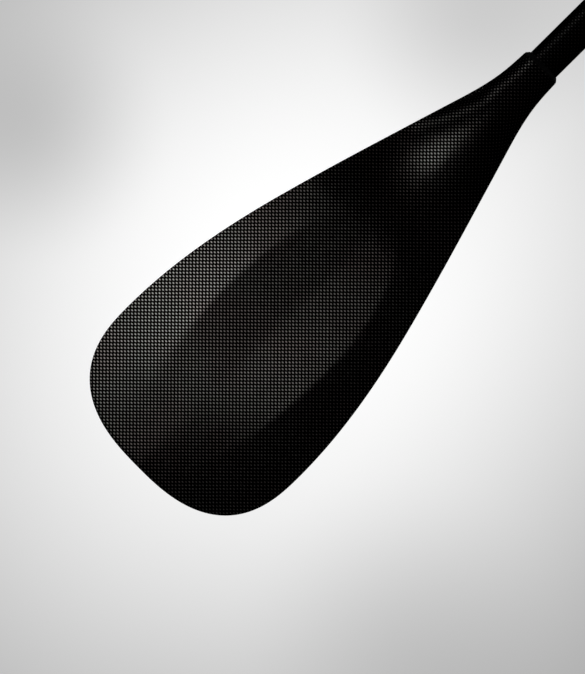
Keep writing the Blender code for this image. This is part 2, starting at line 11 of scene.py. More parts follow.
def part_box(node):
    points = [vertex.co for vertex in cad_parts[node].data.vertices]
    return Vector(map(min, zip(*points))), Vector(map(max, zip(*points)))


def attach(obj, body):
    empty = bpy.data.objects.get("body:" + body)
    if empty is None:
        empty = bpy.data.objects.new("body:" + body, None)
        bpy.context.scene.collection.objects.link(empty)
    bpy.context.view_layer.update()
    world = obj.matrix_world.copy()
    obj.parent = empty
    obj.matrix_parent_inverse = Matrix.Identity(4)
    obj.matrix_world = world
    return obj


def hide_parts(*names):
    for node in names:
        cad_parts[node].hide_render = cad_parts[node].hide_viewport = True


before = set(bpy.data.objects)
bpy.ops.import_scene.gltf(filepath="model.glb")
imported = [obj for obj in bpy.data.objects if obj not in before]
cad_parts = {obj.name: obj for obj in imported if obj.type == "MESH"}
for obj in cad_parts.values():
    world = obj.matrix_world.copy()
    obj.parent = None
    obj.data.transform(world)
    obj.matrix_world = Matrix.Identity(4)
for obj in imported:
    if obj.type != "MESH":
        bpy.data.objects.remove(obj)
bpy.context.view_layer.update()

# ---- Places and sizes, read from the frame ----

SLEEVE_LOW, SLEEVE_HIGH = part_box("left_neck_sleeve")
SHAFT_LOW, SHAFT_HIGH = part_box("left_shaft")
FERRULE_LOW, FERRULE_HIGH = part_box("ferrule_tube")
COLLAR_LOW, COLLAR_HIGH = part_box("clamp_collar")
BOLT_LOW, BOLT_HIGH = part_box("draw_bolt")
BARREL_LOW, BARREL_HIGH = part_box("lever_barrel")
NUT_LOW, NUT_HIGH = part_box("thumb_nut")
WASHER_LOW, WASHER_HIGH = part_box("cam_washer")

MOUTH_X = -SLEEVE_HIGH[0]
AXIS_Z = (SHAFT_LOW[2] + SHAFT_HIGH[2]) / 2
BLADE_LENGTH = 0.480
SHAFT_R = 0.0150
SHAFT_BORE_R = 0.0135
SOCKET_DEPTH = SLEEVE_HIGH[0] - SLEEVE_LOW[0]
SHAFT_END_X = -SHAFT_HIGH[0]
# From the paddle's middle.
GRIP_ZONE = (0.105, 0.405)
GRIP_DEPTH = 0.0001
FIT = 0.00005

# ---- Blade: outline and relief (u from the mouth to the tip, v across, w out of the back) ----

# u, half the width there, and its slope.
SIDE_KNOTS = (
    (0.000, 0.0182, 0.030),
    (0.032, 0.0204, 0.145),
    (0.070, 0.0296, 0.305),
    (0.234, 0.0777, 0.268),
    (0.390, 0.1016, 0.000),
)
TIP_START, TIP_HALF_WIDTH = SIDE_KNOTS[-1][:2]
TIP_POWER = 2.65
CORNER_U = 0.440
ROWS, COLUMNS = 200, 104
ROW_CROWDING = 0.38
COLUMN_SPREAD, COLUMN_SPREAD_FADE = 1.2, (0.020, 0.100)
BEND_START = 0.120

NECK_R = 0.0182
NOSE_LENGTH = 0.0042
SKIN = 0.0009
SKIN_START = 0.0044
SLEEVE_GAP = 0.0004
EDGE_HALF = 0.0020
SEAM_HALF = 0.00003
SKIN_BEVEL = 0.00025
FLANGE_START, RIM_START = 0.018, 0.030
SPOON_START, SPOON_DROP, SPOON_POWER = 0.060, 0.0120, 3.19
RISE_HEIGHT, RISE_SPAN = 0.0092, (0.122, 0.210)
SIDE_DROP, SIDE_DROP_V, SIDE_DROP_POWER = 0.0070, 0.100, 1.33
SIDE_DROP_FADE = (0.093, 0.120)
RIDGE_HALF_WIDTH = 0.0219
RIDGE_SPREAD = 0.36
RIDGE_HOLLOW = 0.54
RIDGE_START, RIDGE_END = 0.055, 0.194
LOWER_RIDGE_START, LOWER_RIDGE_END = 0.058, 0.190
KEEL_HEIGHT, KEEL_WIDTH = 0.0012, 0.022
KEEL_RISE, KEEL_FALL = (0.060, 0.160), (0.300, 0.440)
UNION_POWER = 3.0
PLATEAU_HEIGHT = 0.0005
PLATEAU_FLATNESS = 1.65
PLATEAU_CENTRE = 0.314
PLATEAU_NECK_AXIS, PLATEAU_TIP_AXIS = 0.130, 0.169
PLATEAU_HALF_WIDTH = 0.0556
PLATEAU_SLOPE = 0.0355
PLATEAU_FADE = 0.013

RIM_SIDE_STEPS, RIM_TIP_STEPS = 120, 90
RIM_WIDTH, RIM_WIDTH_SHARE = 0.003, 0.055
RIM_GAP = 0.00002
# Shares of the band's width and half thickness.
RIM_SECTION = (
    (1.0, 1.0), (0.12, 1.0), (0.045, 0.75), (0.03, 0.0),
    (0.045, -0.75), (0.12, -1.0), (1.0, -1.0),
)

TOW = 0.00204
TOW_CROWN_POWER, TOW_DIVE = 1.3, 2.2
ALONG_FIBRE, ACROSS_FIBRE = 300.0, 9000.0
# The span of each crosswise tow's crown that carries its painted glint.
PAINTED_GLINT_CROWN = (0.28, 0.98)
MATT_EDGE, MATT_ROUGHNESS = 0.0003, 0.62

FERRULE_R, FERRULE_BORE_R = SHAFT_BORE_R - 0.0003, SHAFT_BORE_R - 0.0016
BUSH_BORE_R = 0.0040
END_RING_R = 0.0170

INK = 0.00008
SCALE_STEP, SCALE_MARKS, SCALE_MIDDLE_CM = 0.005, 10, 215
SCALE_ANGLE, FEATHER_STEP = 100.0, 15.0
MARK_WIDTH, LONG_MARK, SHORT_MARK = 0.00045, 0.0062, 0.0038
NUMBER_SIZE, NUMBER_OFFSET = 0.0042, 0.0080
FEATHER_LINE_LENGTH, FEATHER_LINE_WIDTH = 0.110, 0.00035

DRIP_HUB_R, DRIP_CUP_R = 0.0178, 0.0260
DRIP_HUB_LENGTH = 0.018
DRIP_RIBS, DRIP_RIB_PITCH, DRIP_RIB_HALF_WIDTH = 4, 0.0038, 0.0012

# ---- Camera and light ----

CAMERA_LENS = 400.0
CAMERA_ROLL = -44.72
FRAME_HEIGHT = 0.5662
FRAME_CENTRE_U, FRAME_CENTRE_V = 0.3107, -0.0141
BLADE_TOP = 0.030

# The floor's painted glow: an oval pool of light painted below the blade.
GLOW_STRETCH = 1.19
GLOW_SHIFT = (0.029, 0.030)
GLOW_RADII = (0.02, 0.485)
GLOW_LEVELS = (1.03, 0.40)
FLOOR_SIZE, FLOOR_GAP = 30.0, 0.0006
# Painted shades on the floor: x and y from the frame's middle, radius, depth.
FLOOR_SHADES = (
    (-0.032, 0.278, 0.125, 0.24),
    (0.294, 0.083, 0.130, 0.19),
    (-0.114, -0.245, 0.150, 0.12),
)

KEY_PLACE, KEY_TARGET = (0.419, 0.179, 0.555), (0.314, 0.021, 0.0)
KEY_POWER, KEY_SPREAD = 0.0315, 54.0
RIDGE_TARGET = (0.114, 0.016, 0.0)
RIDGE_POWER, RIDGE_LIGHT_SPREAD = 0.0024, 12.0
NECK_PLACE, NECK_TARGET = (-0.020, 0.600, 0.360), (-0.03, 0.0, 0.0)
NECK_POWER, NECK_SPREAD = 0.0045, 26.0
SHAFT_TARGET = (0.56, 0.0, 0.0)
SHAFT_POWER, SHAFT_SPREAD = 3.5, 40.0
FILL_POWER = 1.2
WORLD_STRENGTH = 0.002


# ---- Node graphs ----


class Graph:
    """Builds a material's nodes round its Principled shader."""

    def __init__(self, name, **inputs):
        self.material = bpy.data.materials.new(name)
        self.material.use_nodes = True
        self.tree = self.material.node_tree
        self.shader = self.tree.nodes["Principled BSDF"]
        for key, value in inputs.items():
            self.set(key.replace("_", " "), value)

    def fill(self, socket, value):
        """Gives a socket a link, a colour, a vector or a number."""
        if isinstance(value, bpy.types.NodeSocket):
            self.tree.links.new(value, socket)
        elif isinstance(value, tuple) and len(value) < len(socket.default_value):
            socket.default_value = (*value, 1.0)
        else:
            socket.default_value = value

    def set(self, key, value):
        self.fill(self.shader.inputs[key], value)

    def node(self, kind, inputs, **settings):
        node = self.tree.nodes.new(kind)
        for key, value in settings.items():
            setattr(node, key, value)
        for key, value in inputs.items():
            self.fill(node.inputs[key], value)
        return node

    def math(self, operation, *values):
        return self.node("ShaderNodeMath", dict(enumerate(values)), operation=operation).outputs[0]

    def product(self, *values):
        return self.math("MULTIPLY", *values)

    def grey(self, value):
        return self.node("ShaderNodeCombineColor", {0: value, 1: value, 2: value}).outputs[0]

    def blend(self, factor, low, high):
        """A number between low and high."""
        return self.node("ShaderNodeMix", {0: factor, 2: low, 3: high}).outputs[0]

    def colour(self, factor, low, high):
        """A colour between low and high."""
        return self.node("ShaderNodeMix", {0: factor, 6: low, 7: high}, data_type="RGBA").outputs[2]

    def band(self, value, low, high):
        """0 below low, 1 above high, smooth between."""
        inputs = {"Value": value, "From Min": low, "From Max": high}
        return self.node("ShaderNodeMapRange", inputs, interpolation_type="SMOOTHSTEP").outputs[0]

    def weave_place(self):
        return self.node("ShaderNodeUVMap", {}, uv_map="weave").outputs[0]

    def place(self):
        return self.node("ShaderNodeTexCoord", {}).outputs["Object"]

    def scaled(self, vector, x, y, z):
        return self.node("ShaderNodeMapping", {"Vector": vector, "Scale": (x, y, z)}).outputs[0]

    def noise(self, vector, scale, detail=3.0, roughness=0.5):
        inputs = {"Vector": vector, "Scale": scale, "Detail": detail, "Roughness": roughness}
        return self.node("ShaderNodeTexNoise", inputs).outputs[0]

    def cells(self, vector, scale):
        return self.node("ShaderNodeTexVoronoi", {"Vector": vector, "Scale": scale}).outputs[0]

    def minus(self, vector, place):
        return self.node("ShaderNodeVectorMath", {0: vector, 1: place}, operation="SUBTRACT").outputs[0]

    def length(self, vector):
        return self.node("ShaderNodeVectorMath", {0: vector}, operation="LENGTH").outputs["Value"]

    def bump(self, height, distance, strength=1.0):
        inputs = {"Height": height, "Distance": distance, "Strength": strength}
        return self.node("ShaderNodeBump", inputs).outputs[0]


def plain_weave(g, place, pitch):
    """Returns (1 where a crosswise tow is on top, the cloth's height, the streaks of its fibres)."""
    split = g.node("ShaderNodeSeparateXYZ", {0: place})
    a = g.math("DIVIDE", split.outputs[0], pitch)
    b = g.math("DIVIDE", split.outputs[1], pitch)
    crosswise = g.math("FLOORED_MODULO", g.math("ADD", g.math("FLOOR", a), g.math("FLOOR", b)), 2.0)
    x = g.math("SUBTRACT", g.math("FRACT", a), 0.5)
    y = g.math("SUBTRACT", g.math("FRACT", b), 0.5)
    from_middle = g.math("ABSOLUTE", g.product(g.blend(crosswise, y, x), 2.0))
    crown = g.math("SUBTRACT", 1.0, g.math("POWER", from_middle, TOW_CROWN_POWER))
    dive = g.math("COSINE", g.product(g.blend(crosswise, x, y), TOW_DIVE))
    lengthwise_fibre = g.noise(g.scaled(place, ALONG_FIBRE, ACROSS_FIBRE, 1.0), 1.0, 2.0)
    crosswise_fibre = g.noise(g.scaled(place, ACROSS_FIBRE, ALONG_FIBRE, 1.0), 1.0, 2.0)
    streaks = g.blend(crosswise, lengthwise_fibre, crosswise_fibre)
    return crosswise, g.product(crown, dive), streaks


def matt_patch(g, place, finish, low, high):
    """A finish that turns matt between two distances from the shaft's middle."""
    distance = g.math("ABSOLUTE", g.node("ShaderNodeSeparateXYZ", {0: place}).outputs[0])
    after_start = g.band(distance, low, low + MATT_EDGE)
    before_end = g.band(distance, high, high - MATT_EDGE)
    return g.blend(g.product(after_start, before_end), finish, MATT_ROUGHNESS)


def carbon(name, glint_level=0.62, dark=0.003, roughness=0.329, coat=0.0, depth=0.00002, matt_zone=None):
    """Plain-weave carbon cloth under satin resin. The glint of the crosswise tows is painted into the base
    colour: their crowns are bright, the lengthwise tows nearly black.
    """
    g = Graph(name, Metallic=1.0, Coat_Weight=coat, Coat_Roughness=0.22)
    place = g.weave_place()
    crosswise, height, streaks = plain_weave(g, place, TOW)
    drift = g.noise(place, 22.0, 3.0)
    level = g.product(g.blend(streaks, 0.55, 1.45), g.blend(drift, 0.75, 1.25))
    # Painted glint: the crowns of the crosswise tows get a bright base colour, the lengthwise tows and the
    # gaps a nearly black one.
    painted_glint_tow = g.product(g.product(level, glint_level), g.band(height, *PAINTED_GLINT_CROWN))
    red = g.blend(crosswise, g.product(level, dark), painted_glint_tow)
    tint = g.band(g.noise(place, 14.0, 1.0), 0.35, 0.65)
    green = g.product(red, g.blend(tint, 0.89, 0.99))
    blue = g.product(red, g.blend(tint, 0.86, 0.94))
    g.set("Base Color", g.node("ShaderNodeCombineColor", {0: red, 1: green, 2: blue}).outputs[0])
    finish = g.blend(streaks, roughness - 0.05, roughness + 0.06)
    if matt_zone:
        finish = matt_patch(g, place, finish, *matt_zone)
    g.set("Roughness", finish)
    g.set("Normal", g.bump(height, depth))
    return g.material


def edge_resin(name):
    """Black filled resin of the edge band, with fine scuffs."""
    g = Graph(name, Specular_IOR_Level=0.35)
    place = g.place()
    scuffs = g.noise(g.scaled(place, 1.0, 1.0, 4.0), 900.0, 4.0, 0.6)
    g.set("Base Color", g.colour(g.band(scuffs, 0.50, 0.80), (0.006, 0.006, 0.006), (0.030, 0.029, 0.028)))
    g.set("Roughness", g.blend(scuffs, 0.35, 0.65))
    g.set("Normal", g.bump(scuffs, 0.00004))
    return g.material


def moulded(name, base, worn, roughness=0.5, grain=2600.0, depth=0.00005):
    """Moulded plastic with a spark-eroded texture and faint rub marks."""
    g = Graph(name)
    place = g.place()
    texture = g.cells(place, grain)
    rubbed = g.band(g.noise(place, 60.0, 4.0, 0.6), 0.50, 0.75)
    g.set("Base Color", g.colour(rubbed, base, worn))
    g.set("Roughness", g.blend(rubbed, roughness, roughness - 0.12))
    g.set("Normal", g.bump(texture, depth, 0.8))
    return g.material


def rubber(name):
    """Soft matt rubber with a dusty bloom and moulding specks."""
    g = Graph(name, Specular_IOR_Level=0.30)
    place = g.place()
    bloom = g.noise(place, 90.0, 5.0, 0.6)
    specks = g.cells(place, 3500.0)
    g.set("Base Color", g.colour(g.band(bloom, 0.40, 0.75), (0.012, 0.012, 0.013), (0.030, 0.030, 0.031)))
    g.set("Roughness", g.blend(bloom, 0.62, 0.85))
    g.set("Normal", g.bump(specks, 0.00003, 0.7))
    return g.material


def nylon(name):
    """Natural nylon with turning marks along the shaft's axis."""
    g = Graph(name, Subsurface_Weight=0.15, Subsurface_Radius=(0.004, 0.003, 0.002), Subsurface_Scale=0.5)
    place = g.place()
    marks = g.noise(g.scaled(place, 6000.0, 2.0, 2.0), 1.0, 2.0)
    stain = g.noise(place, 120.0, 3.0)
    g.set("Base Color", g.colour(stain, (0.58, 0.56, 0.49), (0.68, 0.66, 0.60)))
    g.set("Roughness", g.blend(marks, 0.38, 0.58))
    g.set("Normal", g.bump(marks, 0.00002))
    return g.material


def metal(name, base, worn, roughness, stretch, metallic=1.0):
    """Brushed or turned metal. The marks run along the axis with the smallest stretch."""
    g = Graph(name, Metallic=metallic)
    place = g.place()
    marks = g.noise(g.scaled(place, *stretch), 1.0, 3.0)
    cloud = g.band(g.noise(place, 180.0, 4.0, 0.6), 0.45, 0.75)
    g.set("Base Color", g.colour(cloud, base, worn))
    marked = g.blend(marks, roughness - 0.08, roughness + 0.10)
    g.set("Roughness", g.math("ADD", marked, g.product(cloud, 0.06)))
    g.set("Normal", g.bump(marks, 0.000012))
    return g.material


def foam(name, light, dark, scale):
    """Cut foam, darker inside its cells."""
    g = Graph(name, Roughness=0.9, Specular_IOR_Level=0.2)
    place = g.place()
    cell = g.cells(place, scale)
    g.set("Base Color", g.colour(cell, light, dark))
    g.set("Normal", g.bump(cell, 0.0004))
    return g.material


def ink(name):
    """White printing ink, a little worn."""
    g = Graph(name)
    worn = g.band(g.noise(g.place(), 1500.0, 3.0), 0.35, 0.60)
    g.set("Base Color", g.colour(worn, (0.50, 0.50, 0.49), (0.80, 0.80, 0.78)))
    g.set("Roughness", g.blend(worn, 0.6, 0.45))
    return g.material


# ---- Meshes ----


def link_object(name, data):
    obj = bpy.data.objects.new(name, data)
    bpy.context.scene.collection.objects.link(obj)
    return obj


def mesh_from(bm, name):
    """Turns a bmesh into a mesh and frees it."""
    mesh = bpy.data.meshes.new(name)
    bm.to_mesh(mesh)
    bm.free()
    return mesh


def finish_mesh(name, points, faces, places, mat, body, sharp=40.0):
    """A smooth-shaded piece that rides on a body. places holds the weave's place of each face corner."""
    mesh = bpy.data.meshes.new(name)
    mesh.from_pydata(points, [], faces)
    layer = mesh.uv_layers.new(name="weave")
    layer.data.foreach_set("uv", np.asarray(places, np.float32).ravel())
    mesh.shade_smooth()
    mesh.set_sharp_from_angle(angle=math.radians(sharp))
    mesh.materials.append(mat)
    obj = link_object(name, mesh)
    if body:
        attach(obj, body)
    return obj


def lattice(points, coords, wrap_rows=False, wrap_columns=False, flip=False):
    """Faces of a grid of points, and the weave's place of each face corner.

    coords has one more row or column than points where the grid wraps.
    """
    rows, columns = points.shape[:2]
    r = np.arange(rows if wrap_rows else rows - 1)
    c = np.arange(columns if wrap_columns else columns - 1)
    r, c = (grid.ravel() for grid in np.meshgrid(r, c, indexing="ij"))
    corners = [(r, c), (r + 1, c), (r + 1, c + 1), (r, c + 1)]
    if flip:
        corners.reverse()
    faces = np.stack([(i % rows) * columns + j % columns for i, j in corners], axis=1)
    places = np.stack([coords[i, j] for i, j in corners], axis=1)
    return points.reshape(-1, 3).tolist(), faces.tolist(), places


def plain_lattice(points, wrap_rows=False, flip=False):
    """Faces of a stack of closed rings, with no weave. The ends are capped unless the rows wrap."""
    rows, columns = points.shape[:2]
    coords = np.zeros((rows + 1, columns + 1, 2))
    points, faces, _ = lattice(points, coords, wrap_rows=wrap_rows, wrap_columns=True, flip=flip)
    if not wrap_rows:
        first = list(range(columns))
        last = [(rows - 1) * columns + i for i in reversed(first)]
        faces += [first[::-1], last[::-1]] if flip else [first, last]
    return points, faces, np.zeros((sum(len(face) for face in faces), 2))


def bevel(obj, width, segments=2, angle=40.0):
    modifier = obj.modifiers.new("Bevel", "BEVEL")
    modifier.width = width
    modifier.segments = segments
    modifier.limit_method = "ANGLE"
    modifier.angle_limit = math.radians(angle)
    modifier.harden_normals = False


def solidify(obj, thickness, offset):
    modifier = obj.modifiers.new("Solidify", "SOLIDIFY")
    modifier.thickness = thickness
    modifier.offset = offset


def rounded(profile, radius, steps=4):
    """A closed profile of (x, r) with each corner turned into an arc. A corner may give its own radius."""
    result = []
    for i, corner in enumerate(profile):
        p = np.array(corner[:2])
        size = corner[2] if len(corner) > 2 else radius
        before = np.array(profile[i - 1][:2]) - p
        after = np.array(profile[(i + 1) % len(profile)][:2]) - p
        reach = min(size, 0.45 * np.linalg.norm(before), 0.45 * np.linalg.norm(after))
        if reach <= 0:
            result.append(tuple(p))
            continue
        start = p + before / np.linalg.norm(before) * reach
        end = p + after / np.linalg.norm(after) * reach
        for k in range(steps + 1):
            t = k / steps
            result.append(tuple((1 - t) ** 2 * start + 2 * t * (1 - t) * p + t**2 * end))
    return result


def ring_angles(sides):
    return np.linspace(0, 2 * math.pi, sides, endpoint=False)


def revolve(name, profile, mat, body, sides=96, centre=(0.0, 0.0), sharp=40.0):
    """A closed profile of (x, r), outer side first from its far end, turned about the shaft's axis."""
    profile = np.array(profile)
    angles = ring_angles(sides)
    radii = profile[:, 1][:, None]
    points = np.empty((len(profile), sides, 3))
    points[..., 0] = profile[:, 0][:, None]
    points[..., 1] = centre[0] + radii * np.cos(angles)
    points[..., 2] = AXIS_Z + centre[1] + radii * np.sin(angles)
    coords = np.empty((len(profile) + 1, sides + 1, 2))
    coords[..., 0] = np.append(profile[:, 0], profile[0, 0])[:, None]
    coords[..., 1] = np.linspace(0, 2 * math.pi, sides + 1) * SHAFT_R
    points, faces, places = lattice(points, coords, wrap_rows=True, wrap_columns=True)
    return finish_mesh(name, points, faces, places, mat, body, sharp)


# ---- Blade surface ----


def smooth_step(value, low, high):
    x = np.clip((value - low) / (high - low), 0.0, 1.0)
    return x * x * (3 - 2 * x)


def half_width(u):
    """Half the blade's width: cubics between the knots, then the superelliptic tip."""
    result = np.full(np.shape(u), TIP_HALF_WIDTH)
    for start, end in zip(SIDE_KNOTS, SIDE_KNOTS[1:]):
        span = end[0] - start[0]
        x = (u - start[0]) / span
        cubic = start[1] * (2 * x**3 - 3 * x**2 + 1) + end[1] * (3 * x**2 - 2 * x**3)
        cubic += span * (start[2] * (x**3 - 2 * x**2 + x) + end[2] * (x**3 - x**2))
        result = np.where((u >= start[0]) & (u < end[0]), cubic, result)
    reach = np.clip((u - TIP_START) / (BLADE_LENGTH - TIP_START), 0.0, 1.0)
    tip = TIP_HALF_WIDTH * (1 - reach**TIP_POWER) ** (1 / TIP_POWER)
    return np.where(u >= TIP_START, tip, result)


def tip_u(v):
    """The tip's edge: how far from the mouth it is at each v."""
    share = (1 - (np.abs(v) / TIP_HALF_WIDTH) ** TIP_POWER) ** (1 / TIP_POWER)
    return TIP_START + (BLADE_LENGTH - TIP_START) * share


def side_drop(u, v):
    """How far the sides fall below the middle."""
    return SIDE_DROP * (np.abs(v) / SIDE_DROP_V) ** SIDE_DROP_POWER * smooth_step(u, *SIDE_DROP_FADE)


def middle_height(u, v):
    """The surface halfway between the faces.

    It is a spoon that rises from the neck, then drops to the tip and the sides.
    """
    along = np.maximum(0.0, (u - SPOON_START) / (BLADE_LENGTH - SPOON_START))
    rise = RISE_HEIGHT * smooth_step(u, *RISE_SPAN)
    return rise - SPOON_DROP * along**SPOON_POWER - side_drop(u, v)


def edge_half_thickness(u):
    """Half the blade's thickness away from the ridge. It grows from the socket to the edge band."""
    at_flange = SKIN + 2 * SEAM_HALF
    start = SEAM_HALF + (at_flange - SEAM_HALF) * smooth_step(u, SKIN_START, FLANGE_START)
    return start + (EDGE_HALF - at_flange) * smooth_step(u, FLANGE_START, RIM_START)


def ridge_height(u, v, start, end):
    """The shaft's tube as it sinks into the blade."""
    width = RIDGE_HALF_WIDTH + RIDGE_SPREAD * np.maximum(0.0, u - start)
    width = np.minimum(half_width(np.minimum(u, TIP_START)), width)
    sink = smooth_step(u, start, end)
    return NECK_R * (1 - sink) * np.maximum(0.0, 1 - (v / width) ** 2) ** (0.5 + RIDGE_HOLLOW * sink)


def plateau_height(u, v):
    """The egg-shaped panel on the back.

    It is flat across, with a crease at its outline where the sides fall away.
    """
    along = u - PLATEAU_CENTRE
    axis = np.where(along < 0, PLATEAU_NECK_AXIS, PLATEAU_TIP_AXIS)
    reach = np.maximum(np.hypot(along / axis, v / PLATEAU_HALF_WIDTH), 0.001)
    slope = np.hypot(along / axis**2, v / PLATEAU_HALF_WIDTH**2) / reach
    outside = (reach - 1) / np.maximum(slope, 1.0)
    cover = np.exp(-np.maximum(outside, 0) / PLATEAU_SLOPE)
    cover = cover * (1 - smooth_step(along, PLATEAU_FADE, BLADE_LENGTH - PLATEAU_CENTRE))
    return cover * (PLATEAU_HEIGHT + PLATEAU_FLATNESS * side_drop(u, v))


def soft_union(a, b):
    return (a**UNION_POWER + b**UNION_POWER) ** (1 / UNION_POWER)


def back_height(u, v):
    flank = edge_half_thickness(u) + plateau_height(u, v)
    return middle_height(u, v) + soft_union(ridge_height(u, v, RIDGE_START, RIDGE_END), flank)


def power_height(u, v):
    keel = KEEL_HEIGHT * np.exp(-((v / KEEL_WIDTH) ** 2))
    keel = keel * smooth_step(u, *KEEL_RISE) * (1 - smooth_step(u, *KEEL_FALL))
    ridge = ridge_height(u, v, LOWER_RIDGE_START, LOWER_RIDGE_END)
    return middle_height(u, v) - soft_union(ridge, edge_half_thickness(u) + keel)


def blade_grid():
    """The places (u, v) of the fine grid. Its rows bend towards the tip, and the last is the tip's edge."""
    share = np.linspace(0, 1, ROWS)
    crowded = (1 - ROW_CROWDING) * share + ROW_CROWDING * share**2
    edge_u = (SKIN_START + (CORNER_U - SKIN_START) * crowded)[:, None]
    t = np.linspace(-1, 1, COLUMNS)[None, :]
    quarter = math.pi / 2
    spread = quarter + (COLUMN_SPREAD - quarter) * smooth_step(edge_u, *COLUMN_SPREAD_FADE)
    across = np.sin(spread * t) / np.sin(spread)
    bend = 2 * smooth_step(edge_u, BEND_START, 2 * CORNER_U - BEND_START)
    corner = half_width(np.array(CORNER_U))
    return edge_u + bend * (tip_u(corner * across) - CORNER_U), half_width(edge_u) * across


def to_world(side, local):
    """Blade places (u, v, w) in the row frame. The left blade is turned half round."""
    sign = -1 if side == "left" else 1
    world = np.array(local, float)
    world[..., 0] = sign * (MOUTH_X + world[..., 0])
    world[..., 1] = sign * world[..., 1]
    world[..., 2] += AXIS_Z
    return world


def weave_coords(u, v, w):
    """The cloth's coordinates: the distance from the mouth, and the distance along each row."""
    steps = np.hypot(np.diff(v, axis=1), np.diff(w, axis=1))
    across = np.concatenate([np.zeros((len(v), 1)), np.cumsum(steps, axis=1)], axis=1)
    across -= across[:, COLUMNS // 2 - 1 : COLUMNS // 2 + 1].mean(axis=1, keepdims=True)
    return np.stack([u, across], axis=-1)


def make_skin(side, face, height, upwards, mat):
    """One face of a blade: its surface, thickened inwards to the laminate."""
    u, v = blade_grid()
    w = height(u, v)
    points = to_world(side, np.stack([u, v, w], axis=-1))
    points, faces, places = lattice(points, weave_coords(u, v, w), flip=not upwards)
    name = f"{side}_{face}_cloth"
    skin = finish_mesh(name, points, faces, places, mat, side + "_half", 60)
    solidify(skin, SKIN, -1)
    bevel(skin, SKIN_BEVEL, 2, 50)
    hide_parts(f"{side}_{face}_skin")


def blade_outline():
    """The edge's places (u, v), from the neck on one side, round the tip, to the neck on the other."""
    side_u = np.linspace(RIM_START, CORNER_U, RIM_SIDE_STEPS)
    corner = half_width(np.array(CORNER_U))
    turn = np.linspace(-1, 1, RIM_TIP_STEPS)[1:-1]
    tip_v = corner * np.sin(COLUMN_SPREAD * turn) / math.sin(COLUMN_SPREAD)
    u = np.concatenate([side_u, tip_u(tip_v), side_u[::-1]])
    v = np.concatenate([-half_width(side_u), tip_v, half_width(side_u)[::-1]])
    return u, v


def make_rim(side, mat):
    """The edge band between the skins, with a rounded face."""
    u, v = blade_outline()
    du, dv = np.gradient(u), np.gradient(v)
    length = np.hypot(du, dv)
    width = np.minimum(RIM_WIDTH, RIM_WIDTH_SHARE * half_width(np.minimum(u, TIP_START)))
    half = EDGE_HALF - SKIN - RIM_GAP
    rings = []
    for inset, lift in RIM_SECTION:
        ring_u = u - dv / length * width * inset
        ring_v = v + du / length * width * inset
        rings.append(np.stack([ring_u, ring_v, middle_height(ring_u, ring_v) + lift * half], axis=-1))
    points = to_world(side, np.stack(rings, axis=1))
    points, faces, places = plain_lattice(points, flip=True)
    rim = finish_mesh(side + "_edge_band", points, faces, places, mat, side + "_half")
    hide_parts(side + "_rim")


def mirror_profile(profile, side):
    """A profile given from the mouth outwards, on its own side of the paddle."""
    sign = -1 if side == "left" else 1
    placed = [(sign * (MOUTH_X + corner[0]), *corner[1:]) for corner in profile]
    return placed[::-1] if side == "left" else placed


def make_sleeve(side, mat):
    """The socket's moulded sleeve, with the chamfered nose that shows at the mouth."""
    inner = SHAFT_R + FIT
    wall = NECK_R - SKIN - SLEEVE_GAP
    nose = NECK_R - FIT
    profile = [
        (SOCKET_DEPTH, wall),
        (NOSE_LENGTH + 0.0001, wall),
        (NOSE_LENGTH, nose, 0.0003),
        (NOSE_LENGTH - 0.0012, nose, 0.0008),
        (0.0002, inner + 0.0007, 0.0004),
        (0.0, inner),
        (SOCKET_DEPTH, inner),
    ]
    placed = rounded(mirror_profile(profile, side), 0.0001, 3)
    sleeve = revolve(side + "_socket_sleeve", placed, mat, side + "_half")
    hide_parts(side + "_neck_sleeve")


def make_shaft(side, mat):
    """A tube with a matt zone for the hands and for clip-on parts, ground down a little."""
    low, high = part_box(side + "_shaft")
    start, end = sorted(x if side == "right" else -x for x in GRIP_ZONE)
    ground = SHAFT_R - GRIP_DEPTH
    profile = [
        (high[0], SHAFT_R),
        (end + GRIP_DEPTH, SHAFT_R, 0.0),
        (end, ground, 0.0),
        (start, ground, 0.0),
        (start - GRIP_DEPTH, SHAFT_R, 0.0),
        (low[0], SHAFT_R),
        (low[0], SHAFT_BORE_R),
        (high[0], SHAFT_BORE_R),
    ]
    shaft = revolve(side + "_tube", rounded(profile, 0.0003, 3), mat, side + "_half", 128)
    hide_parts(side + "_shaft")


def drip_ribs():
    """The gripping ribs on the hub, from the cup outwards."""
    ribs = []
    for i in range(DRIP_RIBS):
        centre = DRIP_HUB_LENGTH - 0.0030 - DRIP_RIB_PITCH * i
        ribs.append((centre + DRIP_RIB_HALF_WIDTH, DRIP_HUB_R - 0.0005, 0.0005))
        ribs.append((centre, DRIP_HUB_R + 0.0003, 0.0006))
        ribs.append((centre - DRIP_RIB_HALF_WIDTH, DRIP_HUB_R - 0.0005, 0.0005))
    return ribs


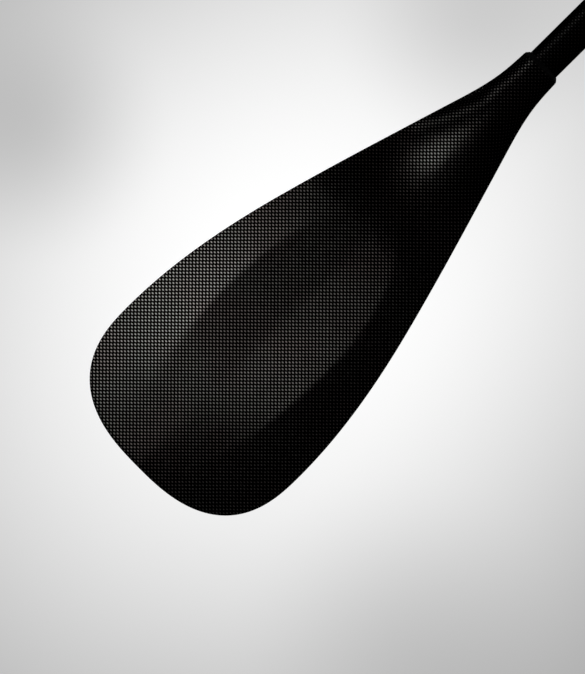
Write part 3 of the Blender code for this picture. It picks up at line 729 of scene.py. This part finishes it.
def make_drip_ring(side, mat):
    """A soft cup with gripping ribs on its hub and a rolled lip."""
    low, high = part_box(side + "_drip_ring")
    length = high[0] - low[0]
    inner = SHAFT_R + FIT
    outer = [
        (length, DRIP_CUP_R - 0.0003, 0.0006),
        (length - 0.0016, DRIP_CUP_R, 0.0007),
        (length - 0.0034, DRIP_CUP_R - 0.0010, 0.001),
        (DRIP_HUB_LENGTH + 0.0070, DRIP_CUP_R - 0.0030, 0.003),
        (DRIP_HUB_LENGTH + 0.0008, DRIP_HUB_R, 0.0020),
    ]
    inside = [
        (0.0, DRIP_HUB_R - 0.0016, 0.0005),
        (0.0, inner, 0.0004),
        (DRIP_HUB_LENGTH, inner, 0.0006),
        (DRIP_HUB_LENGTH + 0.0018, inner + 0.0026, 0.001),
        (DRIP_HUB_LENGTH + 0.0074, DRIP_CUP_R - 0.0045, 0.003),
        (length - 0.0030, DRIP_CUP_R - 0.0024, 0.001),
        (length, DRIP_CUP_R - 0.0016, 0.0005),
    ]
    profile = outer + drip_ribs() + inside
    if side == "left":
        placed = [(high[0] - x, *rest) for x, *rest in reversed(profile)]
    else:
        placed = [(low[0] + x, *rest) for x, *rest in profile]
    ring = revolve(side + "_drip_cup", rounded(placed, 0.0004), mat, side + "_drip", sharp=60)
    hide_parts(side + "_drip_ring")


# ---- Ferrule ----


def make_ferrule(mat):
    """The ground male tube."""
    start, end = FERRULE_LOW[0], FERRULE_HIGH[0]
    profile = [(end, FERRULE_R), (start, FERRULE_R, 0.0008), (start, FERRULE_BORE_R), (end, FERRULE_BORE_R)]
    tube = revolve("ferrule_sleeve", rounded(profile, 0.0003), mat, "right_half", 128)
    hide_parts("ferrule_tube")


def make_bush(mat):
    """The plug with a rounded nose that guides the tube's end."""
    low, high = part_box("glide_bush")
    face = FERRULE_LOW[0] - 0.0003
    spigot = FERRULE_BORE_R - 0.0003
    profile = [
        (high[0], spigot),
        (face, spigot),
        (face, FERRULE_R, 0.0004),
        (low[0], FERRULE_R, 0.0014),
        (low[0], BUSH_BORE_R, 0.0010),
        (high[0], BUSH_BORE_R),
    ]
    bush = revolve("nylon_glide", rounded(profile, 0.0003), mat, "glide")
    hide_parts("glide_bush")


def make_end_ring(mat):
    """The grooved trim ring that covers the right shaft's end."""
    low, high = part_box("end_ring")
    groove = (low[0] + high[0]) / 2 + 0.002
    lip, cover = SHAFT_BORE_R - 0.0001, SHAFT_R + FIT
    stop = SHAFT_END_X - 0.0002
    profile = [
        (high[0], END_RING_R - 0.0006, 0.0008),
        (high[0] - 0.001, END_RING_R, 0.0008),
        (groove + 0.0010, END_RING_R),
        (groove + 0.0004, END_RING_R - 0.0005),
        (groove - 0.0004, END_RING_R - 0.0005),
        (groove - 0.0010, END_RING_R),
        (low[0], END_RING_R, 0.0012),
        (low[0], lip, 0.0006),
        (stop, lip),
        (stop, cover),
        (high[0], cover),
    ]
    ring = revolve("shaft_end_ring", rounded(profile, 0.0002), mat, "right_half")
    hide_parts("end_ring")


def wrap_on_tube(mesh, radius, x0, angle0):
    """Bends a flat mesh (its X along the tube, its Y round it) onto the ferrule."""
    for vertex in mesh.vertices:
        x, y, z = vertex.co
        angle = angle0 - y / radius
        r = radius + z
        vertex.co = (x0 + x, r * math.cos(angle), AXIS_Z + r * math.sin(angle))


def number_mesh(text):
    """A generic number as a flat solid, centred, reading across the tube."""
    curve = bpy.data.curves.new("number", "FONT")
    curve.body = text
    curve.size = NUMBER_SIZE
    curve.align_x, curve.align_y = "CENTER", "CENTER"
    curve.extrude = INK / 2
    curve.resolution_u = 3
    obj = link_object("number", curve)
    graph = bpy.context.evaluated_depsgraph_get()
    mesh = bpy.data.meshes.new_from_object(obj.evaluated_get(graph))
    bpy.data.objects.remove(obj)
    bpy.data.curves.remove(curve)
    mesh.transform(Matrix.Rotation(math.pi / 2, 4, "Z"))
    return mesh


def strip_mesh(length, width, pieces=6):
    """A thin printed bar, divided across its width so that it can bend."""
    bm = bmesh.new()
    bmesh.ops.create_grid(bm, x_segments=1, y_segments=pieces, size=0.5)
    for vertex in bm.verts:
        vertex.co = (vertex.co.x * length, vertex.co.y * width, -INK / 2)
    top = bmesh.ops.extrude_face_region(bm, geom=bm.faces[:])["geom"]
    for item in top:
        if isinstance(item, bmesh.types.BMVert):
            item.co.z = INK / 2
    bmesh.ops.recalc_face_normals(bm, faces=bm.faces)
    return mesh_from(bm, "bar")


def join_meshes(name, meshes, mat, body):
    bm = bmesh.new()
    for mesh in meshes:
        bm.from_mesh(mesh)
        bpy.data.meshes.remove(mesh)
    bmesh.ops.remove_doubles(bm, verts=bm.verts, dist=0.0000005)
    joined = mesh_from(bm, name)
    joined.materials.append(mat)
    obj = link_object(name, joined)
    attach(obj, body)
    return obj


def make_scales(mat):
    """The ferrule's printed scales: length along its top, feather angle round it."""
    radius = FERRULE_R + INK / 2
    lip = COLLAR_HIGH[0]
    top = math.radians(SCALE_ANGLE)
    meshes = []
    for i in range(-SCALE_MARKS, SCALE_MARKS + 1):
        x = lip - i * SCALE_STEP
        whole = i % 2 == 0
        meshes.append(strip_mesh(MARK_WIDTH, LONG_MARK if whole else SHORT_MARK))
        wrap_on_tube(meshes[-1], radius, x, top)
        if whole:
            meshes.append(number_mesh(str(SCALE_MIDDLE_CM + i // 2)))
            wrap_on_tube(meshes[-1], radius, x, top + NUMBER_OFFSET / radius)
    for step in range(-4, 5):
        angle = top + math.pi + math.radians(FEATHER_STEP * step)
        meshes.append(strip_mesh(FEATHER_LINE_LENGTH, FEATHER_LINE_WIDTH, 2))
        wrap_on_tube(meshes[-1], radius, lip - 0.010, angle)
    scales = join_meshes("ferrule_scales", meshes, mat, "right_half")


# ---- Clamp ----


def box_mesh(low, high):
    size = [b - a for a, b in zip(low, high)]
    middle = [(a + b) / 2 for a, b in zip(low, high)]
    place = Matrix.Translation(middle) @ Matrix.Diagonal((*size, 1.0))
    bm = bmesh.new()
    bmesh.ops.create_cube(bm, size=1.0, matrix=place)
    return mesh_from(bm, "box")


def rod_mesh(radius, start, end, sides=48):
    """A cylinder between two points."""
    start, end = Vector(start), Vector(end)
    turn = (end - start).to_track_quat("Z", "Y").to_matrix().to_4x4()
    bm = bmesh.new()
    bmesh.ops.create_cone(
        bm,
        cap_ends=True,
        segments=sides,
        radius1=radius,
        radius2=radius,
        depth=(end - start).length,
        matrix=Matrix.Translation((start + end) / 2) @ turn,
    )
    return mesh_from(bm, "rod")


def apply_modifiers(obj):
    """Turns the object's modifiers into mesh."""
    graph = bpy.context.evaluated_depsgraph_get()
    mesh = bpy.data.meshes.new_from_object(obj.evaluated_get(graph))
    old = obj.data
    obj.modifiers.clear()
    obj.data = mesh
    bpy.data.meshes.remove(old)


def combine(obj, others):
    """Boolean operations on obj, applied at once. others holds (mesh, operation)."""
    for mesh, operation in others:
        cutter = link_object("cutter", mesh)
        modifier = obj.modifiers.new("Cut", "BOOLEAN")
        modifier.operation = operation
        modifier.object = cutter
        modifier.solver = "EXACT"
        apply_modifiers(obj)
        bpy.data.objects.remove(cutter)
        bpy.data.meshes.remove(mesh)


def resharpen(obj, angle):
    obj.data.set_sharp_from_angle(angle=math.radians(angle))


BOLT_X = (BOLT_LOW[0] + BOLT_HIGH[0]) / 2
BOLT_Y = (BOLT_LOW[1] + BOLT_HIGH[1]) / 2
BARREL_Z = (BARREL_LOW[2] + BARREL_HIGH[2]) / 2
BARREL_R = 0.0030
BOLT_R = 0.0023
THREAD_PITCH, THREAD_DEPTH = 0.0008, 0.0004
NUT_R, NUT_FACE_R = 0.0056, 0.0040
NUT_FLUTES, NUT_FLUTE_DEPTH = 6, 0.00075
WASHER_R = 0.0058
EYE_R = 0.0052
EYE_HALF_WIDTH = 0.0024
EAR_HALF_WIDTH, EAR_TOP, EAR_REACH = 0.012, 0.0070, (0.0158, 0.0300)
EAR_ROUNDING = 0.0022
SLOT_HALF = 0.001
COLLAR_R, COLLAR_WAIST_R = 0.0188, 0.0181
COLLAR_BAND = 0.0040
CAM_R = 0.0046
CAM_THROW = WASHER_HIGH[2] + 0.0003 - (BARREL_Z - CAM_R)
LEVER_HALF_WIDTH, LEVER_NARROWING = 0.0080, 0.0014
LEVER_INNER_R, LEVER_OUTER_R = 0.0206, 0.0240
LEVER_SWELL = 0.0006
LEVER_ANGLES = (56.0, 138.0)
LEVER_STEPS, LEVER_STATIONS = 36, 25
LEVER_TAB = ((-0.0018, 0.0007), (-0.0040, 0.0006), (-0.0050, -0.0004), (-0.0046, -0.0016))
CAM_ANGLES, CAM_STEPS = (170.0, 413.0), 48
GROOVES, GROOVE_R, GROOVE_ANGLE = 4, 0.00055, 4.2


def make_ears():
    """The collar's ears as one block, rounded at its outer edges."""
    low = (BOLT_X - EAR_HALF_WIDTH, EAR_REACH[0], AXIS_Z - EAR_TOP)
    high = (BOLT_X + EAR_HALF_WIDTH, EAR_REACH[1], AXIS_Z + EAR_TOP)
    block = box_mesh(low, high)
    bm = bmesh.new()
    bm.from_mesh(block)
    bpy.data.meshes.remove(block)
    outer = [e for e in bm.edges if min(v.co.y for v in e.verts) > EAR_REACH[1] - 0.001]
    bmesh.ops.bevel(bm, geom=outer, offset=EAR_ROUNDING, segments=4, profile=0.5, affect="EDGES")
    return mesh_from(bm, "ears")


def make_collar(mat):
    """The split collar, with thinned flanks, raised ends and rounded ears."""
    start, end = COLLAR_LOW[0], COLLAR_HIGH[0]
    inner = SHAFT_R + 0.0001
    step = end - 0.0022
    profile = [
        (end, COLLAR_R, 0.0012),
        (end - COLLAR_BAND, COLLAR_R, 0.0005),
        (end - COLLAR_BAND - 0.0006, COLLAR_WAIST_R, 0.0004),
        (start + COLLAR_BAND + 0.0006, COLLAR_WAIST_R, 0.0004),
        (start + COLLAR_BAND, COLLAR_R, 0.0005),
        (start, COLLAR_R, 0.0012),
        (start, inner, 0.0005),
        (step, inner),
        (step, SHAFT_BORE_R),
        (end, SHAFT_BORE_R, 0.0006),
    ]
    collar = revolve("split_collar", rounded(profile, 0.0003), mat, None, 128)
    slot = box_mesh((start - 0.005, 0.010, AXIS_Z - SLOT_HALF), (end + 0.005, 0.035, AXIS_Z + SLOT_HALF))
    hole = rod_mesh(BOLT_R + 0.0003, (BOLT_X, BOLT_Y, AXIS_Z - 0.012), (BOLT_X, BOLT_Y, AXIS_Z + 0.012))
    combine(collar, [(make_ears(), "UNION"), (slot, "DIFFERENCE"), (hole, "DIFFERENCE")])
    bevel(collar, 0.0003, 2, 35)
    resharpen(collar, 35)
    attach(collar, "left_half")
    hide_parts("clamp_collar")


def make_seal(mat):
    """The wiper in the collar's lip, with a pointed inner edge."""
    low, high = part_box("seal_ring")
    middle = (low[0] + high[0]) / 2
    profile = [(high[0], 0.0149), (low[0], 0.0149), (low[0], 0.0139), (middle, 0.01325), (high[0], 0.0139)]
    seal = revolve("lip_seal", rounded(profile, 0.0003, 3), mat, "left_half")
    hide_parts("seal_ring")


def arc(radius, angles):
    return np.stack([radius * np.cos(angles), radius * np.sin(angles)], axis=1)


def lever_outline():
    """The lever from its side (y, z): a cam round its barrel and an arm that hugs the collar."""
    angles = np.linspace(*np.radians(LEVER_ANGLES), LEVER_STEPS)
    swell = LEVER_SWELL * np.sin(np.linspace(0, math.pi, LEVER_STEPS)) ** 2
    outer = arc(LEVER_OUTER_R - swell, angles)
    inner = arc(LEVER_INNER_R, angles)[::-1]
    tab = np.array(LEVER_TAB) + outer[-1]
    cam_middle = (BOLT_Y, BARREL_Z - AXIS_Z - CAM_THROW)
    cam = arc(CAM_R, np.linspace(*np.radians(CAM_ANGLES), CAM_STEPS)) + cam_middle
    outline = np.concatenate([outer, tab, inner, cam])
    outline[:, 1] += AXIS_Z
    return outline


def lever_cuts():
    """The barrel's hole, the notch for the bolt's eye and the finger grooves."""
    reach = LEVER_HALF_WIDTH + 0.002
    left, right = BOLT_X - reach, BOLT_X + reach
    notch_half = EYE_HALF_WIDTH + 0.0004
    notch_low = (BOLT_X - notch_half, BOLT_Y - 0.0062, BARREL_Z - 0.012)
    notch_high = (BOLT_X + notch_half, BOLT_Y + 0.012, BARREL_Z + 0.0062)
    cuts = [rod_mesh(BARREL_R + 0.0001, (left, BOLT_Y, BARREL_Z), (right, BOLT_Y, BARREL_Z))]
    cuts.append(box_mesh(notch_low, notch_high))
    for i in range(GROOVES):
        angle = math.radians(LEVER_ANGLES[1] - 1.5 - GROOVE_ANGLE * i)
        radius = LEVER_OUTER_R + 0.00025
        y, z = radius * math.cos(angle), AXIS_Z + radius * math.sin(angle)
        cuts.append(rod_mesh(GROOVE_R, (left, y, z), (right, y, z), 16))
    return [(mesh, "DIFFERENCE") for mesh in cuts]


def make_lever(mat):
    """The cam lever: its side outline given a width that narrows in the arm."""
    outline = lever_outline()
    half = LEVER_HALF_WIDTH - LEVER_NARROWING * smooth_step(-outline[:, 0], 0.002, 0.018)
    slices = []
    for share in np.linspace(-1, 1, LEVER_STATIONS):
        slices.append(np.stack([BOLT_X + share * half, outline[:, 0], outline[:, 1]], axis=1))
    points, faces, places = plain_lattice(np.stack(slices, axis=0))
    lever = finish_mesh("cam_lever", points, faces, places, mat, None, 35)
    bm = bmesh.new()
    bm.from_mesh(lever.data)
    bmesh.ops.recalc_face_normals(bm, faces=bm.faces)
    bm.to_mesh(lever.data)
    bm.free()
    combine(lever, lever_cuts())
    bevel(lever, 0.00035, 3, 35)
    resharpen(lever, 35)
    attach(lever, "lever")
    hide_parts("clamp_lever")


def turned(name, rows, mat, body, bored=True, sharp=40.0):
    """A closed solid about the bolt's upright axis. rows holds (height, radii), from the top down."""
    sides = len(rows[0][1])
    angles = ring_angles(sides)
    points = np.empty((len(rows), sides, 3))
    for ring, (height, radii) in zip(points, rows):
        ring[:, 0] = BOLT_X + radii * np.cos(angles)
        ring[:, 1] = BOLT_Y + radii * np.sin(angles)
        ring[:, 2] = height
    points, faces, places = plain_lattice(points, wrap_rows=bored)
    return finish_mesh(name, points, faces, places, mat, body, sharp)


def make_nut(mat):
    """The fluted thumb nut, with chamfered ends."""
    flutes = NUT_FLUTE_DEPTH * (0.5 - 0.5 * np.cos(NUT_FLUTES * ring_angles(96))) ** 1.5
    low, high = NUT_LOW[2], NUT_HIGH[2]
    bore = BOLT_R + 0.0001
    bands = [
        (high, bore),
        (high, NUT_FACE_R + 0.0002),
        (high - 0.0004, 0.0048),
        (high - 0.0012, NUT_R),
        (low + 0.0016, NUT_R),
        (low + 0.0006, 0.0051),
        (low, NUT_FACE_R),
        (low, bore),
    ]
    rows = []
    for z, r in rounded(bands, 0.0003, 3):
        share = min(max((r - NUT_FACE_R) / (NUT_R - NUT_FACE_R), 0.0), 1.0)
        rows.append((z, r - flutes * share))
    nut = turned("fluted_nut", rows, mat, "nut")
    resharpen(nut, 50)
    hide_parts("thumb_nut")


def thread_rows(foot, top, sides):
    """Rows (height, radii) of a screw thread that runs out at both ends, from its foot up."""
    angles = ring_angles(sides)
    rows = []
    for z in np.linspace(foot + 0.0004, top, 180):
        turn = (z / THREAD_PITCH - angles / (2 * math.pi)) % 1.0
        fade = min((z - foot) / 0.0012, (top - z) / 0.0008, 1.0)
        rows.append((z, BOLT_R - THREAD_DEPTH * fade * (1 - np.abs(2 * turn - 1))))
    return rows


def make_eye(mat):
    """The bolt's eye as a mesh, about the barrel's axis."""
    hole = BARREL_R + 0.0001
    left, right = BOLT_X - EYE_HALF_WIDTH, BOLT_X + EYE_HALF_WIDTH
    profile = [(right, EYE_R), (left, EYE_R), (left, hole), (right, hole)]
    eye = revolve("eye", rounded(profile, 0.0005), mat, None, 64, (BOLT_Y, BARREL_Z - AXIS_Z))
    mesh = eye.data.copy()
    bpy.data.objects.remove(eye)
    return mesh


def make_bolt(mat):
    """The eye bolt with its screw thread."""
    sides = 48
    foot, top = BOLT_LOW[2], BARREL_Z - BARREL_R - 0.0010
    thread_top = AXIS_Z + 0.002
    rows = [(foot, np.full(sides, BOLT_R - 0.0006)), (foot + 0.0003, np.full(sides, BOLT_R - 0.0003))]
    rows += thread_rows(foot, thread_top, sides)
    rows += [(thread_top + 0.0003, np.full(sides, BOLT_R)), (top, np.full(sides, BOLT_R))]
    shank = turned("eye_bolt", rows[::-1], mat, None, False, 60)
    combine(shank, [(make_eye(mat), "UNION")])
    resharpen(shank, 50)
    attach(shank, "left_half")
    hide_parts("draw_bolt")


def make_barrel(mat):
    """The lever's pin, with rounded ends and centre holes."""
    reach = LEVER_HALF_WIDTH + 0.0004
    profile = [
        (reach, 0.0006),
        (reach, BARREL_R, 0.0005),
        (-reach, BARREL_R, 0.0005),
        (-reach, 0.0006),
        (-reach + 0.0006, 0.0004),
        (reach - 0.0006, 0.0004),
    ]
    placed = rounded([(BOLT_X + x, *rest) for x, *rest in profile], 0.0002, 3)
    barrel = revolve("lever_pin", placed, mat, "left_half", 64, (BOLT_Y, BARREL_Z - AXIS_Z))
    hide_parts("lever_barrel")


def make_washer(mat):
    """The washer that the cam presses on."""
    low, high = WASHER_LOW[2], WASHER_HIGH[2]
    bore = BOLT_R + 0.0003
    bands = [(high, bore), (high, WASHER_R, 0.0006), (low, WASHER_R, 0.0004), (low, bore)]
    rows = [(z, np.full(96, r)) for z, r in rounded(bands, 0.0002)]
    washer = turned("thrust_washer", rows, mat, "left_half")
    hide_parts("cam_washer")


# ---- Inner pieces that keep their CAD shape ----


def dress_cad_nodes(nodes, mat):
    for name in nodes:
        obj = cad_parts[name]
        for slot in obj.material_slots:
            slot.material = mat


# ---- Stage ----


def floor_light(g):
    """The floor's painted light: an oval painted glow below the blade, less the soft painted shades round
    it.
    """
    middle_x, middle_y = frame_centre()
    glow_x, glow_y = GLOW_SHIFT
    offset = g.minus(g.place(), (middle_x + glow_x, middle_y + glow_y, 0.0))
    oval = g.scaled(offset, 1 / GLOW_STRETCH, 1.0, 1.0)
    level = g.blend(g.band(g.length(oval), *GLOW_RADII), *GLOW_LEVELS)
    for x, y, radius, depth in FLOOR_SHADES:
        distance = g.length(g.minus(g.place(), (middle_x + x, middle_y + y, 0.0)))
        level = g.product(level, g.blend(g.band(distance, 0.0, radius), 1 - depth, 1.0))
    return level


def make_floor():
    """A pale floor that glows: a painted pool of light below the blade, greyer towards its corners, with
    painted shades.
    """
    bm = bmesh.new()
    bmesh.ops.create_grid(bm, x_segments=2, y_segments=2, size=FLOOR_SIZE)
    floor = link_object("floor", mesh_from(bm, "floor"))
    g = Graph("pale_floor_painted_glow", Roughness=0.9, Specular_IOR_Level=0.0)
    g.set("Base Color", (0.10, 0.10, 0.10))
    # The emission carries the painted glow and the painted shades.
    g.set("Emission Color", g.grey(floor_light(g)))
    g.set("Emission Strength", 1.0)
    floor.data.materials.append(g.material)
    floor.location = (0, 0, -FLOOR_GAP)
    floor.visible_glossy = False


def frame_centre():
    """The point of the floor below the middle of the picture."""
    return -(MOUTH_X + FRAME_CENTRE_U), FRAME_CENTRE_V


def make_camera():
    """The camera looks straight down on the left blade."""
    data = bpy.data.cameras.new("camera")
    data.lens = CAMERA_LENS
    data.clip_start = 0.05
    camera = link_object("camera", data)
    x, y = frame_centre()
    distance = FRAME_HEIGHT * CAMERA_LENS / data.sensor_width
    camera.location = (x, y, BLADE_TOP + distance)
    camera.rotation_euler = (0, 0, math.radians(CAMERA_ROLL))
    bpy.context.scene.camera = camera


def add_light(name, place, target, size, power, spread=180.0):
    """A soft square light, turned to its target. spread is the angle of its grid, in degrees."""
    data = bpy.data.lights.new(name, "AREA")
    data.energy = power
    data.size = size
    data.spread = math.radians(spread)
    light = link_object(name, data)
    light.location = place
    light.rotation_euler = (Vector(place) - Vector(target)).to_track_quat("Z", "Y").to_euler()
    light.visible_camera = False


def on_blade(place):
    """A place (u, v, w) over the left blade, in the row frame."""
    u, v, w = place
    return -(MOUTH_X + u), v, AXIS_Z + w


def make_lights():
    """Three lights over the blade and three for the rest."""
    key = on_blade(KEY_PLACE)
    add_light("key", key, on_blade(KEY_TARGET), 0.25, KEY_POWER, KEY_SPREAD)
    add_light("ridge", key, on_blade(RIDGE_TARGET), 0.25, RIDGE_POWER, RIDGE_LIGHT_SPREAD)
    add_light("neck", on_blade(NECK_PLACE), on_blade(NECK_TARGET), 0.35, NECK_POWER, NECK_SPREAD)
    add_light("shaft_front", (0.66, -1.2, 1.4), SHAFT_TARGET, 0.8, SHAFT_POWER, SHAFT_SPREAD)
    add_light("shaft_back", (0.66, 1.2, 1.0), SHAFT_TARGET, 0.8, SHAFT_POWER, SHAFT_SPREAD)
    add_light("far_fill", (1.6, -1.2, 2.0), (0.6, 0.0, 0.0), 1.6, FILL_POWER)
    world = bpy.data.worlds.new("studio")
    bpy.context.scene.world = world
    world.use_nodes = True
    background = world.node_tree.nodes["Background"]
    background.inputs["Color"].default_value = (1.0, 1.0, 1.0, 1.0)
    background.inputs["Strength"].default_value = WORLD_STRENGTH
    bpy.context.scene.view_settings.view_transform = "Standard"


# ---- The paddle ----


def make_halves(soft):
    """Both blades with their shafts, sockets and drip rings."""
    # Carbon weaves with the painted glint of their crosswise tows.
    cloth = carbon("carbon_cloth")
    tube = carbon("carbon_tube", glint_level=0.20, dark=0.010, matt_zone=GRIP_ZONE)
    resin = edge_resin("edge_resin")
    socket = moulded("socket_moulding", (0.008, 0.008, 0.008), (0.016, 0.016, 0.016), 0.55)
    for side in ("left", "right"):
        make_skin(side, "back", back_height, True, cloth)
        make_skin(side, "power", power_height, False, cloth)
        make_rim(side, resin)
        make_sleeve(side, socket)
        make_shaft(side, tube)
        make_drip_ring(side, soft)


def make_joint(soft):
    """The ferrule and its clamp."""
    # The ferrule's weave has a painted glint on its crosswise tows.
    make_ferrule(carbon("ferrule_cloth", glint_level=0.24, dark=0.014, roughness=0.30, coat=0.5, depth=0.00005))
    make_bush(nylon("natural_nylon"))
    make_end_ring(moulded("black_trim", (0.014, 0.014, 0.014), (0.022, 0.022, 0.022), 0.45, 3200.0))
    make_scales(ink("white_ink"))
    make_collar(moulded("glass_filled_nylon", (0.018, 0.018, 0.019), (0.032, 0.032, 0.033), 0.58))
    make_seal(soft)
    black, worn = (0.030, 0.030, 0.032), (0.050, 0.050, 0.052)
    make_lever(metal("black_anodised", black, worn, 0.36, (40.0, 2500.0, 2500.0), 0.85))
    make_nut(metal("black_anodised_turned", black, worn, 0.38, (60.0, 60.0, 7000.0), 0.85))
    steel = metal("stainless_steel", (0.50, 0.50, 0.51), (0.62, 0.62, 0.62), 0.26, (400.0, 400.0, 6000.0))
    make_bolt(steel)
    make_barrel(steel)
    brass = metal("turned_brass", (0.62, 0.43, 0.17), (0.72, 0.53, 0.26), 0.30, (300.0, 300.0, 5000.0))
    make_washer(brass)


def dress_inner_pieces():
    """Foam for the cores and the plugs."""
    core = foam("structural_foam", (0.62, 0.58, 0.44), (0.78, 0.74, 0.60), 900.0)
    plug = foam("closed_cell_foam", (0.12, 0.12, 0.12), (0.26, 0.26, 0.26), 700.0)
    dress_cad_nodes(["left_foam_core", "right_foam_core"], core)
    dress_cad_nodes(["left_end_plug", "right_end_plug", "left_bulkhead"], plug)


make_camera()
make_floor()
make_lights()
rubber_mat = rubber("black_rubber")
make_halves(rubber_mat)
make_joint(rubber_mat)
dress_inner_pieces()
